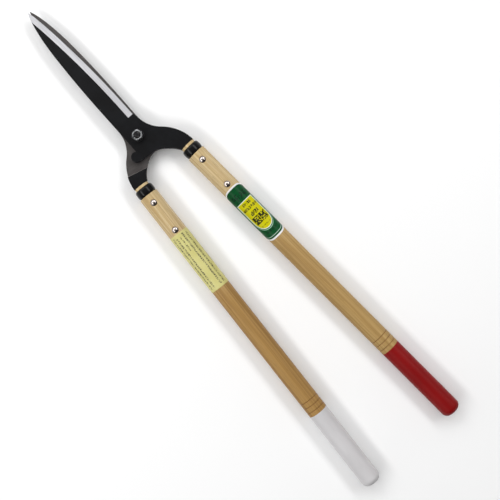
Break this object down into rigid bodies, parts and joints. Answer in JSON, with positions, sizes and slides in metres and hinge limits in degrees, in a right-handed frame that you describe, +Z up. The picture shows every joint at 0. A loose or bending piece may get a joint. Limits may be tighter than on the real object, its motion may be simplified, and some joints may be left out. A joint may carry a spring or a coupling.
{
  "type": "hedge shears",
  "caption": "Long straight hedge shears: two black forged blades with bright ground edges on a hex-bolt pivot, straight turned wooden handles with dipped ends.",
  "frame": {"origin": "centre of the pivot bolt's head face, on the plane that the tool lies on", "axes": "+Y towards the blade tips, +Z up along the pivot towards the nut, +X towards the red handle's side"},
  "size_m": [0.1586, 0.7276, 0.028],
  "materials": {
    "blade_steel": "black oxide forged steel with bright ground edges",
    "bolt_steel": "dark blued steel",
    "nut_steel": "worn zinc over dark steel",
    "wood": "smooth turned oak, light oil",
    "ferrule_black": "gloss black paint",
    "rivet_nickel": "polished nickel",
    "red_coat": "dipped red enamel",
    "white_coat": "dipped white enamel",
    "wrap_label": "coated green label with a yellow panel",
    "paper_label": "pale yellow printed label"
  },
  "bodies": {
    "lower_half": {"lower_blade": "blade_steel", "pivot_bolt": "bolt_steel", "pivot_nut": "nut_steel", "nut_washer": "bolt_steel", "head_washer": "bolt_steel", "white_handle": "wood", "white_coat": "white_coat", "white_ferrule": "ferrule_black", "white_rivet_front": "rivet_nickel", "white_rivet_rear": "rivet_nickel", "white_burr_front": "rivet_nickel", "white_burr_rear": "rivet_nickel", "paper_label": "paper_label"},
    "upper_half": {"upper_blade": "blade_steel", "red_handle": "wood", "red_coat": "red_coat", "red_ferrule": "ferrule_black", "red_rivet_front": "rivet_nickel", "red_rivet_rear": "rivet_nickel", "red_burr_front": "rivet_nickel", "red_burr_rear": "rivet_nickel", "wrap_label": "wrap_label"}
  },
  "joints": [
    {"name": "blade_pivot", "type": "hinge", "parent": "lower_half", "child": "upper_half", "pos_m": [0, 0, 0.0127], "axis": [0, 0, 1], "range_deg": [0, 65]}
  ]
}
